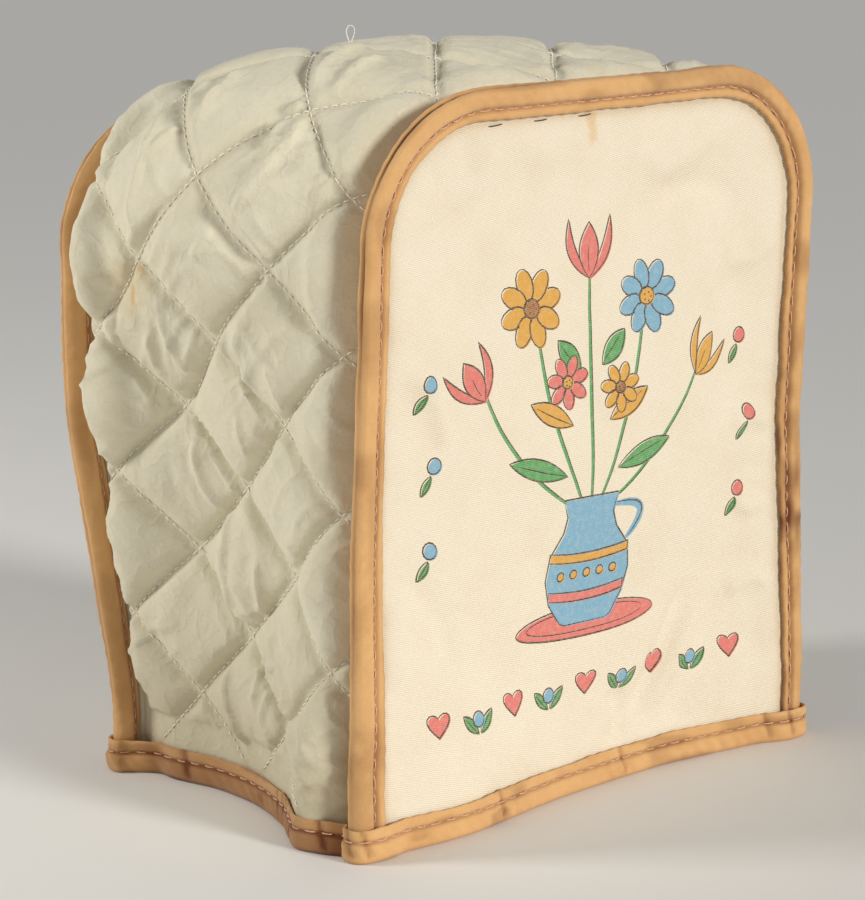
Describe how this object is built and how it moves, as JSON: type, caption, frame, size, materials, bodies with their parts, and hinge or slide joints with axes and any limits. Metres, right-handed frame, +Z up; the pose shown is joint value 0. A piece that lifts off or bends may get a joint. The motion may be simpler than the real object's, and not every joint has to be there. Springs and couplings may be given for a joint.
{
  "type": "can opener cover",
  "caption": "Quilted cloth dust cover that drops over an electric can opener and stands on its bound hem.",
  "frame": {"origin": "middle of the bounding box of the base, on the surface that the hem stands on", "axes": "+Z up; +X to the right as seen from the front; the front panel faces -Y"},
  "size_m": [0.2212, 0.136, 0.243],
  "materials": {
    "natural_canvas": "unbleached cotton canvas with a visible plain weave",
    "quilted_muslin": "fine cream muslin, quilted in diamonds",
    "tan_tape": "folded cotton tape with a line of stitches"
  },
  "bodies": {
    "root": {"front_panel": "natural_canvas", "back_panel": "natural_canvas", "gusset": "quilted_muslin", "front_binding": "tan_tape", "back_binding": "tan_tape", "hem_binding": "tan_tape"}
  },
  "joints": []
}
